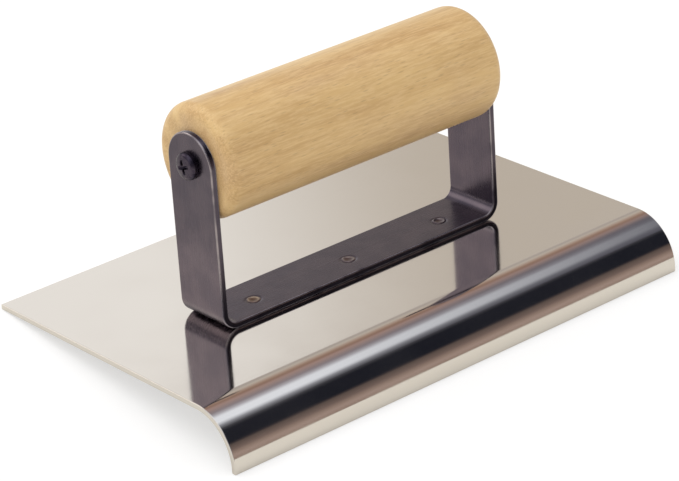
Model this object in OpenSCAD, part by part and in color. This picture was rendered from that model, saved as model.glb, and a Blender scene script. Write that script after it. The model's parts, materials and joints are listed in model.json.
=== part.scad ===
// Concrete hand edger: a steel blade with a rolled lip, a strap bracket spot-welded
// to it, and a turned wooden grip held between the bracket's ears by two screws.
//
// X runs along the grip, the lip is on the -Y side and Z points up. The origin is on
// the blade's flat underside, below the middle of the bracket. Sizes are millimetres.

/* [Blade] */
// Length of the blade, along the grip
blade_length = 203.2; // [150:0.1:260]
// Width of the blade, from the lip's outer face to the back edge
blade_width = 127; // [100:0.5:180]
// Thickness of the blade's sheet
blade_gauge = 2; // [1.6:0.1:3.2]
// Inside radius of the rolled lip, which shapes the slab's edge
lip_radius = 15.9; // [8:0.1:25]
// Straight part of the lip below its bend
lip_land = 1.6; // [1:0.1:8]
// Rounding of the blade's long edges
blade_edge_r = 0.5; // [0.2:0.1:0.7]
// Distance from the lip's outer face back to the middle of the bracket
bracket_setback = 62; // [45:0.5:80]

/* [Bracket] */
// Length of the bracket over its two ears
bracket_length = 127; // [90:0.5:148]
// Width of the strap
strap_width = 23; // [16:0.5:32]
// Thickness of the strap
strap_gauge = 2.4; // [1.6:0.1:4]
// Rounding of the strap's long edges
strap_edge_r = 0.6; // [0.2:0.1:0.7]
// Inside radius of the strap's two bends
bend_radius = 4; // [2:0.5:10]
// Height of the grip's axis above the blade's top
grip_height = 58.5; // [40:0.5:90]

/* [Grip] */
// Diameter of the grip
grip_diameter = 41; // [30:0.1:50]
// Rounding of the grip's two ends
grip_end_r = 4; // [2:0.5:12]
// Gap between the grip and each ear
grip_gap = 0.05; // [0.02:0.01:0.3]

/* [Screws] */
// Diameter of the shank
screw_diameter = 4.8; // [3.5:0.1:6.5]
// Length below the head
screw_length = 25.4; // [15:0.1:45]
// Diameter of the pan head
head_diameter = 9.8; // [8.5:0.1:14]
// Height of the pan head
head_height = 3; // [2.6:0.1:4.5]
// Rounding of the head's rim
head_rim_r = 1.5; // [0.5:0.1:2.2]
// Radius of the head's domed top
head_dome_r = 16; // [10:1:40]
// Span of the cross recess
recess_span = 5.4; // [4:0.1:6.4]
// Width of the cross recess's wings
recess_wing = 1.2; // [0.8:0.1:2]
// Depth of the cross recess
recess_depth = 2.1; // [1.2:0.1:2.3]
// Gap round the shank in the ear's hole
ear_hole_gap = 0.2; // [0.05:0.05:0.5]
// Gap round the shank in the grip's hole
grip_hole_gap = 0.05; // [0.02:0.01:0.2]

/* [Spot welds] */
// Diameter of each weld
weld_diameter = 6; // [4:0.5:9]
// Distance from an ear's outer face to the nearest weld
weld_inset = 20.5; // [14:0.5:28]
// Distance of the welds from the strap's middle, towards the lip
weld_offset = 2; // [0:0.5:4]
// Sheet left whole below each weld
weld_skin = 0.8; // [0.4:0.1:1.2]
// Depth of the dent in the top of each weld
weld_dent = 0.35; // [0.1:0.05:0.8]
// Width of the raised ring round the dent
weld_ring_width = 1; // [0.6:0.1:1.4]
// Height of the raised ring
weld_ring_height = 0.15; // [0.05:0.05:0.3]
// Gap round each weld
weld_gap = 0.02; // [0.01:0.01:0.1]

/* [Hidden] */
$fn = 96;

// How far a cut runs past the face that it leaves by
overrun = 1;
// Angle at a screw's tip and at the end of its hole
tip_angle = 60;

lip_outer_r = lip_radius + blade_gauge;
lip_face_y = -bracket_setback;
bend_y = lip_face_y + lip_outer_r;
bend_z = blade_gauge - lip_outer_r;
back_edge_y = lip_face_y + blade_width;

bend_outer_r = bend_radius + strap_gauge;
bend_mid_r = bend_radius + strap_gauge / 2;
bend_x = bracket_length / 2 - bend_outer_r;
axis_z = blade_gauge + grip_height;
leg_length = grip_height - bend_outer_r;

grip_length = bracket_length - 2 * (strap_gauge + grip_gap);
ear_hole_r = screw_diameter / 2 + ear_hole_gap;
grip_hole_r = screw_diameter / 2 + grip_hole_gap;
grip_hole_depth = screw_length - strap_gauge - grip_gap + grip_hole_gap;

weld_x = bracket_length / 2 - weld_inset;
weld_r = weld_diameter / 2;
weld_top = blade_gauge + strap_gauge;

// Radius of the circle whose segment is this wide and this high
function segment_r(width, height) = (width * width / 4 + height * height) / (2 * height);

// Outline of a straight run of sheet, with its far edge rounded
module sheet_run(length) {
    square([length - blade_edge_r, blade_gauge]);
    translate([0, blade_edge_r]) square([length, blade_gauge - 2 * blade_edge_r]);
    for (y = [blade_edge_r, blade_gauge - blade_edge_r])
        translate([length - blade_edge_r, y]) circle(blade_edge_r);
}

// Side outline of the blade: the flat, the quarter-round lip and its straight land
module blade_outline() {
    translate([bend_y, 0]) sheet_run(back_edge_y - bend_y);
    translate([lip_face_y, bend_z]) rotate(-90) sheet_run(lip_land);
    translate([bend_y, bend_z]) intersection() {
        difference() {
            circle(lip_outer_r);
            circle(lip_radius);
        }
        translate([-lip_outer_r, 0]) square(lip_outer_r);
    }
}

// Rolled from one sheet, sheared square at both ends, pocketed where the welds reach it
module blade() {
    color("lightsteelblue") difference() {
        rotate([90, 0, 90])
            linear_extrude(height = blade_length, center = true) blade_outline();
        weld_pockets(blade_gauge + overrun);
    }
}

// Holes for the welds, from the lowest point that they reach up to a given height
module weld_pockets(top) {
    for (x = [-weld_x, 0, weld_x])
        translate([x, -weld_offset, weld_skin])
            cylinder(r = weld_r + weld_gap, h = top - weld_skin);
}

// Cross section of the strap, with its long edges rounded
module strap_section() {
    edge_y = strap_width / 2 - strap_edge_r;
    edge_x = strap_gauge / 2 - strap_edge_r;
    square([2 * edge_x, strap_width], center = true);
    square([strap_gauge, 2 * edge_y], center = true);
    for (x = [-edge_x, edge_x], y = [-edge_y, edge_y])
        translate([x, y]) circle(strap_edge_r);
}

// Upright side of the bracket: the bend, the straight leg and the full-round ear
module bracket_side() {
    translate([bend_x, 0, blade_gauge + bend_outer_r]) rotate([-90, 0, 0])
        rotate_extrude(angle = 90) translate([bend_mid_r, 0]) strap_section();
    translate([bend_x + bend_mid_r, 0, blade_gauge + bend_outer_r])
        linear_extrude(height = leg_length) strap_section();
    translate([bend_x + bend_mid_r, 0, axis_z]) rotate([0, 90, 0])
        rotate_extrude() rotate(90) intersection() {
            strap_section();
            translate([-strap_gauge, -strap_width]) square([2 * strap_gauge, strap_width]);
        }
}

// Bent from one strap, drilled for the screws and standing on the blade
module handle_bracket() {
    color("dimgray") difference() {
        union() {
            translate([-bend_x, 0, blade_gauge + strap_gauge / 2]) rotate([0, 90, 0])
                linear_extrude(height = 2 * bend_x) strap_section();
            bracket_side();
            mirror([1, 0, 0]) bracket_side();
        }
        translate([0, 0, axis_z]) rotate([0, 90, 0])
            cylinder(r = ear_hole_r, h = bracket_length + 2 * overrun, center = true);
        weld_pockets(weld_top + overrun);
    }
}

// Rod with a pointed end, from the origin along Z
module pointed_rod(radius, length) {
    point = radius / tan(tip_angle / 2);
    cylinder(r = radius, h = length - point);
    translate([0, 0, length - point]) cylinder(r1 = radius, r2 = 0, h = point);
}

// Half outline of the turned grip, with rounded ends
module grip_outline() {
    flat_r = grip_diameter / 2 - grip_end_r;
    shoulder = grip_length / 2 - grip_end_r;
    translate([0, -grip_length / 2]) square([flat_r, grip_length]);
    translate([0, -shoulder]) square([grip_diameter / 2, 2 * shoulder]);
    for (y = [-shoulder, shoulder]) translate([flat_r, y]) circle(grip_end_r);
}

// Turned from one piece of wood and drilled from both ends for the screws
module wood_handle() {
    color("burlywood") translate([0, 0, axis_z]) difference() {
        rotate([0, 90, 0]) rotate_extrude() intersection() {
            grip_outline();
            translate([0, -grip_length]) square([grip_diameter, 2 * grip_length]);
        }
        for (side = [0, 1]) mirror([side, 0, 0])
            translate([grip_length / 2, 0, 0]) rotate([0, -90, 0]) {
                pointed_rod(grip_hole_r, grip_hole_depth);
                translate([0, 0, -overrun]) cylinder(r = grip_hole_r, h = 2 * overrun);
            }
    }
}

// Half outline of the pan head, seated at y = 0
module head_outline() {
    rim_x = head_diameter / 2 - head_rim_r;
    intersection() {
        union() {
            square([rim_x, head_height]);
            square([head_diameter / 2, head_height - head_rim_r]);
            translate([rim_x, head_height - head_rim_r]) circle(head_rim_r);
        }
        translate([0, head_height - head_dome_r]) circle(head_dome_r);
        square([head_diameter, head_height]);
    }
}

// Cross recess, cut down from the head's top, with wings that close in on a point
module cross_recess() {
    intersection() {
        union() for (turn = [0, 90]) rotate(turn)
            translate([-recess_span, -recess_wing / 2, head_height - recess_depth])
                cube([2 * recess_span, recess_wing, recess_depth + overrun]);
        translate([0, 0, head_height - recess_depth])
            cylinder(r1 = recess_wing / 2, r2 = recess_span / 2, h = recess_depth);
    }
}

// Wood screw with a pan head: it goes in through an ear, towards the middle of the grip
module screw(side) {
    color("black") mirror([side < 0 ? 1 : 0, 0, 0])
        translate([bracket_length / 2, 0, axis_z]) rotate([0, 90, 0]) {
            difference() {
                rotate_extrude() head_outline();
                cross_recess();
            }
            mirror([0, 0, 1]) pointed_rod(screw_diameter / 2, screw_length);
        }
}

// Half outline of a spot weld, with a dent and a raised ring left by the electrode
module weld_outline() {
    height = weld_top - weld_skin;
    dent_width = weld_diameter - 2 * weld_ring_width;
    dent_r = segment_r(dent_width, weld_dent);
    ring_r = segment_r(weld_ring_width, weld_ring_height);
    difference() {
        union() {
            square([weld_r, height]);
            intersection() {
                translate([weld_r - weld_ring_width / 2, height + weld_ring_height - ring_r])
                    circle(ring_r);
                square([weld_r, 2 * height]);
            }
        }
        translate([0, height - weld_dent + dent_r]) circle(dent_r);
    }
}

// Metal that joins the strap to the blade, from inside the sheet to the strap's top
module weld(x) {
    color("peru") translate([x, -weld_offset, weld_skin]) rotate_extrude() weld_outline();
}

blade();
handle_bracket();
wood_handle();
screw(-1);  // screw_left
screw(1);  // screw_right
weld(-weld_x);  // weld_left
weld(0);  // weld_middle
weld(weld_x);  // weld_right
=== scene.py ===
"""Looks of a concrete hand edger: a polished steel blade with a rolled lip, a dark strap
bracket spot-welded to it, and a varnished wooden grip held between the ears by two screws.

Everything is in metres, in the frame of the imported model: X runs along the grip, the lip is
on the -Y side, Z points up, and the origin is on the blade's flat underside.
"""
import json
from math import atan2, cos, pi, radians, sin, sqrt, tan

import bpy
import numpy as np
from mathutils import Matrix, Vector

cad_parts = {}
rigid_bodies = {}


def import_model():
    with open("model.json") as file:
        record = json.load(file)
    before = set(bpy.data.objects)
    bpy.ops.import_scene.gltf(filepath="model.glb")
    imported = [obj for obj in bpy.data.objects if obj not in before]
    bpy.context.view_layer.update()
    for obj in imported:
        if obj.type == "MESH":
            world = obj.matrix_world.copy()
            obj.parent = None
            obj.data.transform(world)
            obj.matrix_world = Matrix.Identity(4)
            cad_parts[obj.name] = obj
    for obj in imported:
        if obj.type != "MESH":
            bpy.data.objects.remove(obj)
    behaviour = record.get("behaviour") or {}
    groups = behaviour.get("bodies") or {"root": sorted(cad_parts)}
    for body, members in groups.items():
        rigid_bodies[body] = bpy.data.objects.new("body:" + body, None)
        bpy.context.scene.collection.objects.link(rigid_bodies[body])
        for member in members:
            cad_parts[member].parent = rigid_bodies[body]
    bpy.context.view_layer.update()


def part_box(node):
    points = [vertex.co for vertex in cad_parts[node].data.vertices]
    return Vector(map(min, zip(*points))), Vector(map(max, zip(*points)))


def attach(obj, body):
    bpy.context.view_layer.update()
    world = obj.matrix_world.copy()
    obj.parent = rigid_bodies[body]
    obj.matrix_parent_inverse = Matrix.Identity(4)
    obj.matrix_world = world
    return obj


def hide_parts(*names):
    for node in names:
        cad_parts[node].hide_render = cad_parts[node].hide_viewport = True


# Nothing of the start-up scene stays.
for stray in list(bpy.data.objects):
    bpy.data.objects.remove(stray)
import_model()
mm = 0.001


# ---------------------------------------------------------------------------------------
# The table: a pale floor that the tool stands on as it is put down, on the bottom of its
# lip and on its back edge, so the floor slopes gently in the tool's own frame.
# ---------------------------------------------------------------------------------------
def add_node(tree, kind, settings=None, **inputs):
    """A node of one kind, with its settings and inputs: a value, or the socket that feeds it.

    An input's name is written with _ for a space, and a list fills the inputs in order.
    """
    node = tree.nodes.new(kind)
    for name, value in (settings or {}).items():
        setattr(node, name, value)
    in_order = list(enumerate(inputs.pop("in_order", [])))
    by_name = [(name.replace("_", " "), value) for name, value in inputs.items()]
    for name, value in in_order + by_name:
        if isinstance(value, bpy.types.NodeSocket):
            tree.links.new(value, node.inputs[name])
        elif value is not None:
            node.inputs[name].default_value = value
    return node


def calc(tree, operation, *values, clamp=False):
    """The result of one sum on numbers or sockets."""
    settings = {"operation": operation, "use_clamp": clamp}
    return add_node(tree, "ShaderNodeMath", settings, in_order=values).outputs[0]


def blend_colors(tree, factor, first, second, kind="MIX"):
    """Two colours mixed, or combined in another way, by a factor."""
    node = tree.nodes.new("ShaderNodeMix")
    node.data_type = "RGBA"
    node.blend_type = kind
    for place, value in ((0, factor), (6, first), (7, second)):
        if isinstance(value, bpy.types.NodeSocket):
            tree.links.new(value, node.inputs[place])
        elif place == 0:
            node.inputs[place].default_value = value
        else:
            node.inputs[place].default_value = (*value, 1)
    return node.outputs[2]


def color_ramp(tree, factor, stops):
    """A colour that changes along a line, from (place, colour) pairs in order."""
    ramp = add_node(tree, "ShaderNodeValToRGB", in_order=[factor])
    elements = ramp.color_ramp.elements
    while len(elements) < len(stops):
        elements.new(0.5)
    for element, (place, color) in zip(elements, stops):
        element.position = place
        element.color = (*color, 1)
    return ramp.outputs[0]


def smooth_step(tree, value, start, end):
    """0 before start, 1 after end, and an even S-curve between them."""
    node = add_node(tree, "ShaderNodeMapRange", {"interpolation_type": "SMOOTHSTEP"},
                    in_order=[value, start, end, 0.0, 1.0])
    return node.outputs[0]


def new_material(name):
    """An empty material and its node tree, with its output ready."""
    material = bpy.data.materials.new(name)
    material.use_nodes = True
    material.node_tree.nodes.clear()
    return material, material.node_tree, material.node_tree.nodes.new("ShaderNodeOutputMaterial")


blade_low, blade_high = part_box("blade")
floor_size = 6.0
floor_color = (0.84, 0.81, 0.74)
floor_shown = (0.50, 0.50, 0.50)
floor_lift = (0.56, 0.56, 0.56)

floor_slope = -blade_low.z / (blade_high.y - blade_low.y)
side = floor_size / 2 * np.array([-1, 1])
floor_x, floor_y = np.meshgrid(side, side)
floor_z = (floor_y - blade_high.y) * floor_slope
floor_mesh = bpy.data.meshes.new("floor")
floor_mesh.from_pydata(np.stack([floor_x, floor_y, floor_z], -1).reshape(-1, 3).tolist(),
                       [], [(0, 1, 3, 2)])
floor = bpy.data.objects.new("floor", floor_mesh)
bpy.context.scene.collection.objects.link(floor)

# White to the camera where nothing shades it, and clear from below, where some views look from.
material, tree, output = new_material("floor")
matt = add_node(tree, "ShaderNodeBsdfDiffuse", Color=(*floor_color, 1)).outputs[0]
glow = add_node(tree, "ShaderNodeEmission", Color=(*floor_lift, 1)).outputs[0]
clear = tree.nodes.new("ShaderNodeBsdfTransparent").outputs[0]
paths = tree.nodes.new("ShaderNodeLightPath").outputs
shown = add_node(tree, "ShaderNodeBsdfDiffuse", Color=(*floor_shown, 1)).outputs[0]
lifted = add_node(tree, "ShaderNodeAddShader", in_order=[shown, glow]).outputs[0]
seen = add_node(tree, "ShaderNodeMixShader",
                in_order=[paths["Is Camera Ray"], matt, lifted]).outputs[0]
below = tree.nodes.new("ShaderNodeNewGeometry").outputs["Backfacing"]
one_sided = add_node(tree, "ShaderNodeMixShader", in_order=[below, seen, clear]).outputs[0]
tree.links.new(one_sided, output.inputs["Surface"])
floor_mesh.materials.append(material)

# ---------------------------------------------------------------------------------------
# The studio: white to the camera and evenly pale for soft light. What polished steel shows
# is a room of cards that run along X, by their angle in degrees round that axis from +Y: one
# row to the left and ahead, and another to the right, which the lip and the flat mirror.
# ---------------------------------------------------------------------------------------
around_room = [
    (0, (0.50, 0.48, 0.50)),
    (33.5, (0.50, 0.48, 0.50)),
    (60, (0.62, 0.60, 0.60)),
    (85, (0.95, 0.96, 0.98)),
    (105, (0.95, 0.96, 0.98)),
    (135, (0.10, 0.10, 0.13)),
    (155, (0.10, 0.10, 0.13)),
    (180, (0.45, 0.42, 0.40)),
]
around_right = [
    (0, (0.95, 0.93, 0.90)),
    (33.2, (0.95, 0.93, 0.90)),
    (34.2, (0.50, 0.44, 0.40)),
    (39, (0.43, 0.39, 0.36)),
    (45, (0.56, 0.50, 0.44)),
    (53, (0.41, 0.29, 0.23)),
    (59, (0.29, 0.18, 0.14)),
    (65, (0.40, 0.28, 0.25)),
    (77, (0.28, 0.24, 0.26)),
    (85, (0.50, 0.49, 0.54)),
    (91, (0.88, 0.92, 1.00)),
    (103, (0.88, 0.92, 1.00)),
    (110, (0.30, 0.31, 0.35)),
    (118, (0.05, 0.05, 0.06)),
    (124, (0.012, 0.013, 0.02)),
    (152, (0.012, 0.013, 0.02)),
    (158, (0.12, 0.09, 0.08)),
    (166, (0.18, 0.13, 0.115)),
    (175, (0.34, 0.25, 0.21)),
    (180, (0.40, 0.30, 0.26)),
]
soft_light = (0.80, 0.79, 0.78)
card_beige = (0.58, 0.52, 0.45)
card_slate = (0.10, 0.10, 0.13)
window_light = (1.7, 1.6, 1.45)
window_way = (-0.42, 0.70, 0.57)

world = bpy.data.worlds.new("studio")
world.use_nodes = True
bpy.context.scene.world = world
tree = world.node_tree
tree.nodes.clear()
looking = tree.nodes.new("ShaderNodeTexCoord").outputs["Generated"]
along, back, up = add_node(tree, "ShaderNodeSeparateXYZ", in_order=[looking]).outputs
turn = calc(tree, "ABSOLUTE", calc(tree, "ARCTAN2", up, back))
turn = calc(tree, "DIVIDE", turn, pi)
room = color_ramp(tree, turn, [(angle / 180, color) for angle, color in around_room])
right = color_ramp(tree, turn, [(angle / 180, color) for angle, color in around_right])

# Further to the right, the low card turns beige and the pale strip over it falls to slate.
beige = calc(tree, "MULTIPLY", smooth_step(tree, along, 0.52, 0.615),
             calc(tree, "LESS_THAN", turn, 33.7 / 180))
right = blend_colors(tree, beige, right, card_beige)
fall = add_node(tree, "ShaderNodeMapRange", in_order=[along, 0.55, 0.66, 0.0, 0.95]).outputs[0]
slate = calc(tree, "MULTIPLY", smooth_step(tree, turn, 55 / 180, 82 / 180), fall)
slate = calc(tree, "MULTIPLY", slate, calc(tree, "LESS_THAN", turn, 118 / 180))
right = blend_colors(tree, slate, right, card_slate)

# One soft window behind on the left, which the grip's shoulder and the bends catch.
near_window = add_node(tree, "ShaderNodeVectorMath", {"operation": "DOT_PRODUCT"},
                       in_order=[looking, window_way]).outputs["Value"]
room = blend_colors(tree, smooth_step(tree, near_window, 0.91, 0.985), room, window_light)
to_right = calc(tree, "MULTIPLY", smooth_step(tree, along, 0.30, 0.42),
                smooth_step(tree, along, 0.90, 0.75))
mirrored = blend_colors(tree, to_right, room, right)
paths = tree.nodes.new("ShaderNodeLightPath").outputs
seen = blend_colors(tree, paths["Is Glossy Ray"], soft_light, mirrored)
seen = blend_colors(tree, paths["Is Camera Ray"], seen, (1, 1, 1))
backdrop = add_node(tree, "ShaderNodeBackground", in_order=[seen, 1.0])
output = tree.nodes.new("ShaderNodeOutputWorld")
tree.links.new(backdrop.outputs[0], output.inputs["Surface"])

# A wide soft lamp above, a little behind and to the left.
lamp = bpy.data.lights.new("overhead", "AREA")
lamp.shape = "RECTANGLE"
lamp.size = 1.6
lamp.size_y = 1.0
lamp.energy = 9
lamp_object = bpy.data.objects.new("overhead", lamp)
bpy.context.scene.collection.objects.link(lamp_object)
lamp_object.location = (-0.5, 0.5, 1.5)
lamp_object.rotation_euler = Vector(lamp_object.location).to_track_quat("Z", "Y").to_euler()
lamp_object.visible_glossy = False
lamp_object.visible_camera = False

# The camera looks down over the lip from the left, a little tilted.
view_azimuth = radians(-39.25)
view_elevation = radians(24.69)
view_roll = radians(-3.86)
view_distance = 1.0631
view_target = Vector((0.0011, 0.0035, 0.0095))
view_lens = 160.83

away = Vector((sin(view_azimuth) * cos(view_elevation), -cos(view_azimuth) * cos(view_elevation),
               sin(view_elevation)))
level = Vector((cos(view_azimuth), sin(view_azimuth), 0))
upright = away.cross(level)
camera_x = cos(view_roll) * level + sin(view_roll) * upright
camera_y = away.cross(camera_x)
camera_data = bpy.data.cameras.new("camera")
camera_data.lens = view_lens
camera_data.sensor_width = 36
camera = bpy.data.objects.new("camera", camera_data)
bpy.context.scene.collection.objects.link(camera)
camera.matrix_world = (Matrix.Translation(view_target + view_distance * away)
                       @ Matrix((camera_x, camera_y, away)).transposed().to_4x4())
bpy.context.scene.camera = camera
bpy.context.scene.view_settings.view_transform = "Standard"


# ---------------------------------------------------------------------------------------
# The blade: one stainless sheet, sheared square, its front edge rolled down to a quarter
# round, then polished almost to a mirror along its length.
# ---------------------------------------------------------------------------------------
def grid_quads(rows, columns, closed=False):
    """Corner numbers of a grid's quads, for points numbered row by row.

    A closed grid also joins the last point of each row to the row's first.
    """
    row, column = np.mgrid[0:rows - 1, 0:columns if closed else columns - 1]
    after = (column + 1) % columns
    corners = [row * columns + column, row * columns + after,
               (row + 1) * columns + after, (row + 1) * columns + column]
    return np.stack(corners, axis=-1).reshape(-1, 4)


def make_piece(name, patches, material, node, marks=None):
    """An object made of patches, each an array of points and its quads.

    Points that coincide become one point, and a quad that lost a side becomes a triangle.
    Marks are values at the points, patch by patch, that the material reads by name.
    """
    firsts = np.cumsum([0] + [len(points) for points, _ in patches])
    points = np.concatenate([points for points, _ in patches])
    quads = np.concatenate([quads + first for (_, quads), first in zip(patches, firsts)])
    _, keep, same = np.unique(np.round(points / 1e-7).astype(np.int64), axis=0,
                              return_index=True, return_inverse=True)
    quads = same.reshape(-1)[quads]
    repeats = quads == np.roll(quads, -1, axis=1)
    faces = quads[repeats.sum(1) == 0].tolist()
    for corner in range(4):
        faces += np.delete(quads[repeats[:, corner] & (repeats.sum(1) == 1)], corner, 1).tolist()
    mesh = bpy.data.meshes.new(name)
    mesh.from_pydata(points[keep].tolist(), [], faces)
    mesh.polygons.foreach_set("use_smooth", np.ones(len(faces), bool))
    for mark, values in (marks or {}).items():
        values = np.concatenate(values)[keep]
        kind, field = ("FLOAT", "value") if values.ndim == 1 else ("FLOAT_VECTOR", "vector")
        layer = mesh.attributes.new(mark, kind, "POINT")
        layer.data.foreach_set(field, values.astype(np.float32).ravel())
    mesh.materials.append(material)
    piece = bpy.data.objects.new(name, mesh)
    bpy.context.scene.collection.objects.link(piece)
    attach(piece, "root")
    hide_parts(node)
    return piece


def arc(centre, radius, start, end, steps):
    """Points on an arc and their outward directions, from one angle to another."""
    angle = np.radians(np.linspace(start, end, steps + 1))
    out = np.stack([np.cos(angle), np.sin(angle)], -1)
    return centre + radius * out, np.sign(radius) * out


gauge = 2 * mm
lip_radius = 15.9 * mm
edge_r = 0.5 * mm
burr_r = 0.25 * mm
lip_steps = 72
edge_steps = 6

steel, tree, output = new_material("polished_steel")
place = tree.nodes.new("ShaderNodeTexCoord").outputs["Object"]
along_x = add_node(tree, "ShaderNodeMapping", Vector=place, Scale=(6, 900, 900)).outputs[0]
scratches = add_node(tree, "ShaderNodeTexNoise", Vector=along_x, Scale=1.0, Detail=6.0,
                     Roughness=0.7).outputs[0]
smudges = add_node(tree, "ShaderNodeTexNoise", Vector=place, Scale=38.0, Detail=4.0).outputs[0]
roughness = add_node(tree, "ShaderNodeMapRange", in_order=[smudges, 0.35, 0.75, 0.07, 0.13])
bump = add_node(tree, "ShaderNodeBump", Strength=0.05, Distance=0.0001, Height=scratches)
tint = blend_colors(tree, smudges, (0.79, 0.76, 0.725), (0.82, 0.79, 0.755))
shader = add_node(tree, "ShaderNodeBsdfPrincipled", Metallic=1.0, Base_Color=tint,
                  Roughness=roughness.outputs[0], Normal=bump.outputs[0])
tree.links.new(shader.outputs[0], output.inputs["Surface"])


def blade_side(across, land_end):
    """One side of the sheet, from the back edge over the flat and down the lip.

    across is the side's height above the underside. Returns the points and their outward
    directions in the plane of Y and Z, as many on the upper side as on the lower.
    """
    sign = 1 if across > 0 else -1
    bend = np.array([blade_low.y + gauge + lip_radius, -lip_radius])
    near = np.array([0, 0.2, 0.6, 1.5, 4]) * mm
    back = blade_high.y - edge_r
    flat_y = np.concatenate([back - near, np.linspace(back - 8 * mm, bend[0] + 8 * mm, 12),
                             bend[0] + near[:0:-1]])
    flat = np.stack([flat_y, np.full_like(flat_y, across)], -1)
    flat_out = np.zeros_like(flat) + [0, sign]
    curve, curve_out = arc(bend, lip_radius + across, 90, 180, lip_steps)
    land_z = np.linspace(bend[1], land_end, 6)[1:]
    land = np.stack([np.full_like(land_z, bend[0] - lip_radius - across), land_z], -1)
    land_out = np.zeros_like(land) + [-sign, 0]
    points = np.concatenate([flat, curve, land])
    return points, np.concatenate([flat_out, sign * curve_out, land_out])


def blade_outline():
    """The sheet's closed outline in Y and Z, with its outward directions: the upper side,
    the rounded lower edge, the lower side and the rounded back edge."""
    land_end = blade_low.z + edge_r
    top, top_out = blade_side(gauge, land_end)
    bottom, bottom_out = blade_side(0, land_end)
    low_centre = [(blade_low.y + edge_r, land_end), (blade_low.y + gauge - edge_r, land_end)]
    back_centre = [(blade_high.y - edge_r, edge_r), (blade_high.y - edge_r, gauge - edge_r)]
    tips = [arc(np.array(low_centre[0]), edge_r, 180, 270, edge_steps),
            arc(np.array(low_centre[1]), edge_r, 270, 360, edge_steps)]
    backs = [arc(np.array(back_centre[0]), edge_r, -90, 0, edge_steps),
             arc(np.array(back_centre[1]), edge_r, 0, 90, edge_steps)]
    points = np.concatenate([top[:-1], tips[0][0], tips[1][0], bottom[-2::-1][:-1], backs[0][0],
                             backs[1][0][:-1]])
    outs = np.concatenate([top_out[:-1], tips[0][1], tips[1][1], bottom_out[-2::-1][:-1],
                           backs[0][1], backs[1][1][:-1]])
    return points, outs


outline, outward = blade_outline()
turned = np.radians(np.linspace(0, 90, 6))
inset = burr_r * (1 - np.cos(turned))
end_x = blade_high.x - burr_r + burr_r * np.sin(turned)
inner_x = blade_high.x - burr_r
close = np.array([0.05, 0.2, 0.6, 1.5, 4]) * mm
middle_x = np.concatenate([close - inner_x, np.linspace(-1, 1, 25) * (inner_x - 8 * mm),
                           (inner_x - close)[::-1]])
station_x = np.concatenate([-end_x[::-1], middle_x, end_x])
station_inset = np.concatenate([inset[::-1], np.zeros_like(middle_x), inset])
loops = outline[None] - station_inset[:, None, None] * outward[None]
blade_points = np.concatenate([np.broadcast_to(station_x[:, None, None], loops.shape[:2] + (1,)),
                               loops], -1)
count = len(outline)
skin = (blade_points.reshape(-1, 3), grid_quads(len(station_x), count, closed=True))
# The two ends are strips between the upper side's points and the lower side's, from halfway
# round the back edge to halfway round the lip's.
order = np.roll(np.arange(count), edge_steps)
upper = order[:count // 2]
lower = order[::-1][:count // 2]
near_end = np.stack([upper[:-1], upper[1:], lower[1:], lower[:-1]], -1)
caps = [(blade_points[0], near_end[:, ::-1]), (blade_points[-1], near_end)]
make_piece("polished_blade", [skin] + caps, steel, "blade")

# ---------------------------------------------------------------------------------------
# The bracket: one steel strap, cut with round ends, drilled for the screws, its long edges
# rolled round, bent up into a U and blackened. Its edges and corners have rubbed brighter.
# ---------------------------------------------------------------------------------------
strap_gauge = 2.4 * mm
strap_edge_r = 0.6 * mm
bend_radius = 4 * mm
ear_hole_r = 2.6 * mm
weld_r = 3 * mm
recess_depth = 0.6 * mm
near_hole = 8 * mm
end_steps = 48

bracket_low, bracket_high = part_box("handle_bracket")
weld_centres = [(Vector(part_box(node)[0]) + Vector(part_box(node)[1])) / 2
                for node in ("weld_left", "weld_middle", "weld_right")]
strap_half = bracket_high.y
axis_z = bracket_high.z - strap_half
bend_mid_r = bend_radius + strap_gauge / 2
bend_x = bracket_high.x - bend_radius - strap_gauge
bend_z = bracket_low.z + bend_radius + strap_gauge
bend_length = bend_mid_r * pi / 2
to_hole = bend_x + bend_length + axis_z - bend_z


def bend_strap(along, across, depth):
    """Where a point of the flat strap goes once it is bent: straight along the base, round an
    arc about the bend's centre, then straight up. depth runs outwards from mid-thickness."""
    angle = np.clip((np.abs(along) - bend_x) / bend_mid_r, 0, pi / 2)
    rise = np.maximum(np.abs(along) - bend_x - bend_length, 0)
    radius = bend_mid_r + depth
    x = np.sign(along) * (np.minimum(np.abs(along), bend_x) + radius * np.sin(angle))
    return np.stack([x, across, bend_z - radius * np.cos(angle) + rise], -1)


def sink_welds(along, across, depth):
    """Lowers the strap's top where a weld sits, by a smooth step in the distance from it."""
    near = np.min([np.hypot(along - weld.x, across - weld.y) for weld in weld_centres], 0)
    step = np.clip((near - 0.6 * weld_r) / (0.35 * weld_r), 0, 1)
    sunk = recess_depth * (1 - step * step * (3 - 2 * step))
    return np.where(depth < 0, depth + sunk, depth)


leg_s = np.concatenate([np.linspace(bend_x + bend_length, to_hole - near_hole, 14)[1:],
                        np.linspace(to_hole - near_hole, to_hole, 9)[1:]])
side_s = np.concatenate([bend_x + np.linspace(0, bend_length, 25)[1:], leg_s])
strap_s = np.concatenate([-side_s[::-1], np.linspace(-bend_x, bend_x, 153), side_s])
end_turn = np.radians(np.linspace(90, -90, end_steps + 1))[1:-1]

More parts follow.
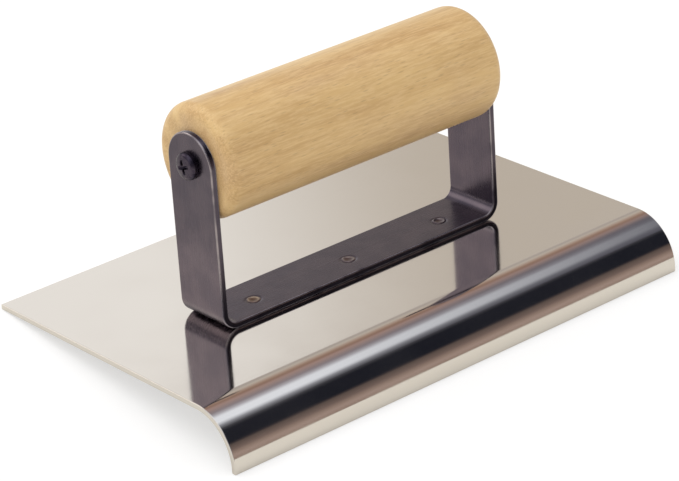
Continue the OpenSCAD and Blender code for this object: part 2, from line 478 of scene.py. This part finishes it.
# Round the strap's edge: where each point's spine is, and which way it faces from there.
spine = np.concatenate([strap_s, np.full_like(end_turn, to_hole),
                        strap_s[::-1], np.full_like(end_turn, -to_hole)])
facing = np.concatenate([np.broadcast_to([0, 1], (len(strap_s), 2)),
                         np.stack([np.cos(end_turn), np.sin(end_turn)], -1),
                         np.broadcast_to([0, -1], (len(strap_s), 2)),
                         np.stack([-np.cos(end_turn), -np.sin(end_turn)], -1)])
half = strap_gauge / 2
face_r = np.array([2.6, 3.0, 3.5, 4.0, 4.5, 5.0, 5.6, 7.0, 9.0, 10.2, 10.7]) * mm
corner, _ = arc(np.array([strap_half - strap_edge_r, -half + strap_edge_r]), strap_edge_r,
                -90, 0, 8)
top_half = np.concatenate([np.stack([face_r, np.full_like(face_r, -half)], -1), corner])
section = np.concatenate([top_half, top_half[::-1] * [1, -1]])
rubbed = np.concatenate([np.zeros(len(face_r)), np.sin(np.radians(np.linspace(0, 90, 9) * 2))])
rubbed = np.concatenate([rubbed, rubbed[::-1]])

ring_s = spine + section[:, :1] * facing[:, 0]
ring_y = section[:, :1] * facing[:, 1]
ring_d = np.broadcast_to(section[:, 1:], ring_s.shape)
ring = bend_strap(ring_s, ring_y, sink_welds(ring_s, ring_y, ring_d))
ring_quads = grid_quads(*ring_s.shape, closed=True)

# Between the two holes, the faces are strips that end on the holes' inner halves.
strip_y = -ear_hole_r * np.cos(np.linspace(0, pi, 17))
strip_y[[0, -1]] = -ear_hole_r, ear_hole_r
reach = np.clip(1 + (np.abs(strap_s) - to_hole) / near_hole, 0, 1) * np.sign(strap_s)
chord = np.sqrt(np.maximum(ear_hole_r ** 2 - strip_y ** 2, 0))
strip_s = strap_s[:, None] - reach[:, None] * chord
strip_y = np.broadcast_to(strip_y, strip_s.shape)
strips = [bend_strap(strip_s, strip_y,
                     sink_welds(strip_s, strip_y, np.full_like(strip_s, side * half)))
          for side in (-1, 1)]
strip_quads = grid_quads(*strip_s.shape)

# Each hole's wall joins its rim on the inner face to its rim on the outer face.
walls = []
count = len(strap_s)
for first, row in ((count - 1, -1), (2 * count + end_steps - 2, 0)):
    columns = (first + np.arange(end_steps + 1)) % len(spine)
    rims = []
    for ring_row, strip in ((0, strips[0]), (-1, strips[1])):
        inner_half = strip[row] if row == -1 else strip[row][::-1]
        rims.append(np.concatenate([ring[ring_row, columns], inner_half[1:-1]]))
    walls.append((np.stack(rims), grid_quads(2, len(rims[0]), closed=True)[:, ::-1]))


def strap_marks(along, across, depth):
    """The flat strap's own coordinates, for patterns that follow it round its bends."""
    return np.stack([along, across, np.broadcast_to(depth, along.shape)], -1).reshape(-1, 3)


patches = [(ring.reshape(-1, 3), ring_quads), (strips[0].reshape(-1, 3), strip_quads[:, ::-1]),
           (strips[1].reshape(-1, 3), strip_quads)]
patches += [(points.reshape(-1, 3), quads) for points, quads in walls]
marks = [strap_marks(ring_s, ring_y, ring_d), strap_marks(strip_s, strip_y, -half),
         strap_marks(strip_s, strip_y, half)]
marks += [points.reshape(-1, 3) for points, _ in walls]
wear = [np.repeat(rubbed, len(spine))] + [np.zeros(len(points)) for points, _ in patches[1:]]

black_steel, tree, output = new_material("blackened_strap")
flat_place = add_node(tree, "ShaderNodeAttribute", {"attribute_name": "on_strap"}).outputs["Vector"]
streaked = add_node(tree, "ShaderNodeMapping", Vector=flat_place, Scale=(25, 900, 900)).outputs[0]
streaks = add_node(tree, "ShaderNodeTexNoise", Vector=streaked, Scale=1.0, Detail=4.0,
                   Roughness=0.6).outputs[0]
clouds = add_node(tree, "ShaderNodeTexNoise", Vector=flat_place, Scale=110.0, Detail=5.0).outputs[0]
specks = add_node(tree, "ShaderNodeTexNoise", Vector=flat_place, Scale=1400.0, Detail=2.0).outputs[0]
tone = blend_colors(tree, smooth_step(tree, clouds, 0.35, 0.65), (0.082, 0.070, 0.098),
                    (0.108, 0.090, 0.118))
tone = blend_colors(tree, calc(tree, "MULTIPLY", streaks, 0.35), tone, (0.19, 0.165, 0.185))
rubbed_there = add_node(tree, "ShaderNodeAttribute", {"attribute_name": "wear"}).outputs["Fac"]
patchy = calc(tree, "MULTIPLY", rubbed_there, smooth_step(tree, clouds, 0.2, 0.6), clamp=True)
tone = blend_colors(tree, calc(tree, "MULTIPLY", patchy, 0.85), tone, (0.52, 0.47, 0.49))
rough = add_node(tree, "ShaderNodeMapRange", in_order=[streaks, 0.3, 0.7, 0.22, 0.32]).outputs[0]
rise = calc(tree, "ADD", streaks, calc(tree, "MULTIPLY", specks, 0.5))
bump = add_node(tree, "ShaderNodeBump", Strength=0.15, Distance=0.0001, Height=rise)
shader = add_node(tree, "ShaderNodeBsdfPrincipled", Metallic=1.0, Base_Color=tone,
                  Roughness=rough, Normal=bump.outputs[0])
tree.links.new(shader.outputs[0], output.inputs["Surface"])
make_piece("strap_bracket", patches, black_steel, "handle_bracket",
           {"on_strap": marks, "wear": wear})

# ---------------------------------------------------------------------------------------
# The spot welds: where the electrode pressed the heated strap onto the blade it left a small
# dished button with a heat-tinted rim. Its colour also holds a painted highlight on the rim and
# painted shade in the groove round it. The left one took the most heat and is the most golden.
# ---------------------------------------------------------------------------------------
button_r = 1.03 * weld_r
button_skirt = 0.9 * mm
button_turns = 72
weld_heats = {"left": 0.6, "middle": 0.2, "right": 0.05}
weld_phases = {"left": 0.4, "middle": 2.1, "right": 4.0}

turn = np.linspace(0, 2 * pi, button_turns, endpoint=False)


def button_height(out, turn, phase):
    """The button's height over the strap: a dish, a rounded rim round it, a groove outside
    the rim, and a little unevenness round the circle."""
    dish = -0.32 * np.clip(1 - (out / 0.56) ** 2, 0, None)
    rim = 0.16 * np.exp(-((out - 0.64) / 0.09) ** 2) * (1 + 0.25 * np.cos(turn + phase))
    groove = -0.10 * np.exp(-((out - 0.88) / 0.07) ** 2)
    uneven = 0.03 * np.sin(3 * turn + phase) * out * (1 - out)
    return (dish + rim + groove + uneven) * mm


weld_metal, tree, output = new_material("weld_button")
ring_place_and_heat = add_node(tree, "ShaderNodeAttribute", {"attribute_name": "ring_place_and_heat"}).outputs["Vector"]
out_there, heat, _ = add_node(tree, "ShaderNodeSeparateXYZ", in_order=[ring_place_and_heat]).outputs
place = tree.nodes.new("ShaderNodeTexCoord").outputs["Object"]
mottle = add_node(tree, "ShaderNodeTexNoise", Vector=place, Scale=900.0, Detail=3.0).outputs[0]
blur = calc(tree, "MULTIPLY", calc(tree, "SUBTRACT", mottle, 0.5), 0.25)
wander = calc(tree, "ADD", out_there, blur)
# Colour by distance from the middle: the dish, a painted highlight on the rim, painted shade in the
# groove outside it, then the strap's own tone. The first ramp also has heat tint and the second has
# none. Each weld's heat mixes the two.
heat_tint_and_painted_light = color_ramp(tree, wander, [
    (0.0, (0.16, 0.095, 0.06)), (0.35, (0.24, 0.15, 0.085)), (0.6, (0.55, 0.42, 0.27)),
    (0.74, (0.22, 0.15, 0.13)), (0.88, (0.06, 0.045, 0.055)), (1.0, (0.11, 0.092, 0.112))])
plain_tone_and_painted_light = color_ramp(tree, wander, [
    (0.0, (0.12, 0.09, 0.10)), (0.35, (0.13, 0.10, 0.115)), (0.6, (0.25, 0.22, 0.235)),
    (0.74, (0.14, 0.11, 0.13)), (0.88, (0.07, 0.055, 0.07)), (1.0, (0.12, 0.10, 0.122))])
tone = blend_colors(tree, heat, plain_tone_and_painted_light, heat_tint_and_painted_light)
shader = add_node(tree, "ShaderNodeBsdfPrincipled", Metallic=1.0, Base_Color=tone, Roughness=0.3)
tree.links.new(shader.outputs[0], output.inputs["Surface"])

# From the middle out over the top, then down the skirt and back in along the bottom.
top_out = np.linspace(0, 1, 29)[:, None]
skirt_out = np.array([[1.0], [0.9], [0.0]])
skirt_z = np.array([[0.01 * mm], [-button_skirt], [-button_skirt]])
out = np.concatenate([top_out, skirt_out]) + np.zeros(button_turns)
skirt = skirt_z + np.zeros(button_turns)
for side, phase in weld_phases.items():
    weld_low, weld_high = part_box("weld_" + side)
    centre = (weld_low + weld_high) / 2
    height = np.concatenate([button_height(top_out, turn, phase), skirt])
    points = np.stack([centre.x + out * button_r * np.cos(turn),
                       centre.y + out * button_r * np.sin(turn),
                       bracket_low.z + strap_gauge + height], -1)
    ring_place_and_heat_values = np.stack([out, np.full_like(out, weld_heats[side]), np.zeros_like(out)], -1)
    make_piece("weld_button_" + side,
               [(points.reshape(-1, 3), grid_quads(*out.shape, closed=True)[:, ::-1])],
               weld_metal, "weld_" + side, {"ring_place_and_heat": [ring_place_and_heat_values.reshape(-1, 3)]})

# ---------------------------------------------------------------------------------------
# The grip: one piece of pale hardwood turned on a lathe with rounded ends, bored for the
# screws and varnished. It is clamped between the ears.
# ---------------------------------------------------------------------------------------
grip_end_r = 4 * mm
bore_r = 2.45 * mm
bore_depth = 22.95 * mm
bore_point = bore_r / tan(radians(30))
grip_turns = 240

grip_low, grip_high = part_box("wood_handle")
grip_r = (grip_high.z - grip_low.z) / 2
grip_axis = (grip_high.z + grip_low.z) / 2
grip_half = grip_high.x
shoulder, _ = arc(np.array([grip_half - grip_end_r, grip_r - grip_end_r]), grip_end_r, 90, 0, 20)
half_profile = np.concatenate([
    np.stack([np.linspace(0, grip_half - grip_end_r - 0.5 * mm, 33)[:-1], np.full(32, grip_r)], -1),
    shoulder,
    [[grip_half, grip_r - grip_end_r - 0.5 * mm], [grip_half, (grip_r + bore_r) / 2],
     [grip_half, bore_r + 0.3 * mm], [grip_half - 0.3 * mm, bore_r],
     [grip_half - bore_depth + bore_point, bore_r], [grip_half - bore_depth, 0]],
])
profile = np.concatenate([half_profile[:0:-1] * [-1, 1], half_profile])
turn = np.linspace(0, 2 * pi, grip_turns, endpoint=False)


def turned_wood(profile, turn):
    """A profile of places along X and radii, carried round the X axis at the grip's height."""
    along = np.broadcast_to(profile[:, :1], (len(profile), len(turn)))
    radius = profile[:, 1:]
    return np.stack([along, radius * np.cos(turn), grip_axis + radius * np.sin(turn)], -1)


varnished, tree, output = new_material("varnished_wood")
place = tree.nodes.new("ShaderNodeTexCoord").outputs["Object"]
stretched = add_node(tree, "ShaderNodeMapping", Vector=place, Scale=(9, 120, 120),
                     Rotation=(0, radians(1.5), radians(-2))).outputs[0]
figure = add_node(tree, "ShaderNodeTexNoise", Vector=stretched, Scale=1.0, Detail=6.0,
                  Roughness=0.55, Distortion=0.6).outputs[0]
fine = add_node(tree, "ShaderNodeMapping", Vector=place, Scale=(130, 1500, 1500)).outputs[0]
fibres = add_node(tree, "ShaderNodeTexNoise", Vector=fine, Scale=1.0, Detail=4.0,
                  Roughness=0.7).outputs[0]
blotch = add_node(tree, "ShaderNodeMapping", Vector=place, Scale=(22, 60, 60)).outputs[0]
blotches = add_node(tree, "ShaderNodeTexNoise", Vector=blotch, Scale=1.0, Detail=3.0).outputs[0]
tone = blend_colors(tree, smooth_step(tree, figure, 0.32, 0.68), (0.60, 0.365, 0.145),
                    (0.80, 0.545, 0.240))
tone = blend_colors(tree, calc(tree, "MULTIPLY", smooth_step(tree, blotches, 0.5, 0.75), 0.5),
                    tone, (0.55, 0.34, 0.18))
tone = blend_colors(tree, calc(tree, "MULTIPLY", smooth_step(tree, fibres, 0.4, 0.65), 0.5),
                    tone, (0.86, 0.62, 0.32))
pore_space = add_node(tree, "ShaderNodeMapping", Vector=place, Scale=(160, 1100, 1100)).outputs[0]
pores = add_node(tree, "ShaderNodeTexVoronoi", Vector=pore_space, Scale=1.0,
                 Randomness=1.0).outputs["Distance"]
dark_pores = calc(tree, "SUBTRACT", 1.0, smooth_step(tree, pores, 0.08, 0.3))
tone = blend_colors(tree, calc(tree, "MULTIPLY", dark_pores, 0.35), tone, (0.38, 0.22, 0.10))
rise = calc(tree, "SUBTRACT", fibres, calc(tree, "MULTIPLY", dark_pores, 0.5))
bump = add_node(tree, "ShaderNodeBump", Strength=0.2, Distance=0.0001, Height=rise)
rough = add_node(tree, "ShaderNodeMapRange", in_order=[figure, 0.3, 0.7, 0.5, 0.42]).outputs[0]
shader = add_node(tree, "ShaderNodeBsdfPrincipled", Base_Color=tone, Roughness=rough,
                  Coat_Weight=0.5, Coat_Roughness=0.28, Normal=bump.outputs[0])
tree.links.new(shader.outputs[0], output.inputs["Surface"])
grip_points = turned_wood(profile, turn)
grip_quads = grid_quads(*grip_points.shape[:2], closed=True)
grip = make_piece("turned_grip", [(grip_points.reshape(-1, 3), grip_quads)], varnished,
                  "wood_handle")
# The steel does not mirror the grip, which would draw a golden band along the lip's start.
grip.visible_glossy = False

# ---------------------------------------------------------------------------------------
# The screws: black pan-head wood screws with a cross recess, one through each ear into the
# end of the grip. Both have the same thread.
# ---------------------------------------------------------------------------------------
head_r = 4.9 * mm
head_height = 3 * mm
head_rim_r = 1.5 * mm
dome_r = 16 * mm
recess_span = 5.4 * mm
recess_wing = 1.2 * mm
cross_depth = 2.1 * mm
cross_turn = radians(16)
shank_r = 2.4 * mm
root_r = 1.7 * mm
screw_length = 25.4 * mm
thread_pitch = 1.95 * mm
neck_length = 7 * mm
point_length = 4 * mm
wing_blur = 0.16 * mm
screw_turns = 192

rim_x = head_r - head_rim_r
rim_lean = atan2(rim_x, sqrt((dome_r - head_rim_r) ** 2 - rim_x ** 2))
rim_z = head_height - dome_r + (dome_r - head_rim_r) * cos(rim_lean)
lean = np.linspace(0, rim_lean, 46)
dome = np.stack([dome_r * np.sin(lean), head_height - dome_r + dome_r * np.cos(lean)], -1)
rim, _ = arc(np.array([rim_x, rim_z]), head_rim_r, 90 - np.degrees(rim_lean), 0, 12)
below = np.array([[head_r, 0.15 * mm], [head_r - 0.05 * mm, 0.04 * mm], [head_r - 0.15 * mm, 0],
                  [shank_r + 0.3 * mm, 0], [shank_r, -0.3 * mm], [shank_r, 0.5 * mm - neck_length]])
thread_z = np.arange(neck_length, screw_length, thread_pitch / 10)
threaded = np.stack([np.full_like(thread_z, shank_r), -thread_z], -1)
profile = np.concatenate([dome, rim[1:], below, threaded, [[0, -screw_length]]])


def screw_surface(profile, turn):
    """A screw's radius and height: its profile, less the cross recess in the head and less
    the groove of the thread, a wave along the shank that moves one pitch in each turn."""
    radius = np.broadcast_to(profile[:, :1], (len(profile), len(turn))).copy()
    height = np.broadcast_to(profile[:, 1:], radius.shape).copy()
    u = radius * np.cos(turn - cross_turn)
    v = radius * np.sin(turn - cross_turn)
    off_wing = (np.minimum(np.abs(u), np.abs(v)) - recess_wing / 2) / wing_blur
    wing = 0.5 - 0.5 * np.sin(pi * np.clip(off_wing, -0.5, 0.5))
    floor = np.clip(recess_span / 2 - radius, 0, cross_depth)
    height -= np.where(height > 0, wing * floor, 0)
    along = np.clip((-height - neck_length) / thread_pitch, 0, None)
    wave = 0.5 + 0.5 * np.cos(2 * pi * (-height / thread_pitch - turn / (2 * pi)))
    groove = np.clip(along, 0, 1) * (1 - wave ** 2.5)
    taper = np.clip((screw_length + height) / point_length, 0, 1)
    shank = height < -neck_length
    threaded_r = (shank_r - (shank_r - root_r) * groove) * taper
    return np.where(shank, threaded_r, radius), height


blackened, tree, output = new_material("blackened_screw")
place = tree.nodes.new("ShaderNodeTexCoord").outputs["Object"]
grime = add_node(tree, "ShaderNodeTexNoise", Vector=place, Scale=700.0, Detail=3.0).outputs[0]
tone = blend_colors(tree, smooth_step(tree, grime, 0.35, 0.7), (0.055, 0.045, 0.068),
                    (0.09, 0.075, 0.10))
rough = add_node(tree, "ShaderNodeMapRange", in_order=[grime, 0.3, 0.7, 0.2, 0.32]).outputs[0]
shader = add_node(tree, "ShaderNodeBsdfPrincipled", Metallic=1.0, Base_Color=tone,
                  Roughness=rough)
tree.links.new(shader.outputs[0], output.inputs["Surface"])

turn = np.linspace(0, 2 * pi, screw_turns, endpoint=False)
radius, height = screw_surface(profile, turn)
for side, name in ((-1, "screw_left"), (1, "screw_right")):
    points = np.stack([side * (bracket_high.x + height), side * radius * np.cos(turn),
                       axis_z + radius * np.sin(turn)], -1)
    make_piece("pan_head_" + name,
               [(points.reshape(-1, 3), grid_quads(*points.shape[:2], closed=True)[:, ::-1])],
               blackened, name)
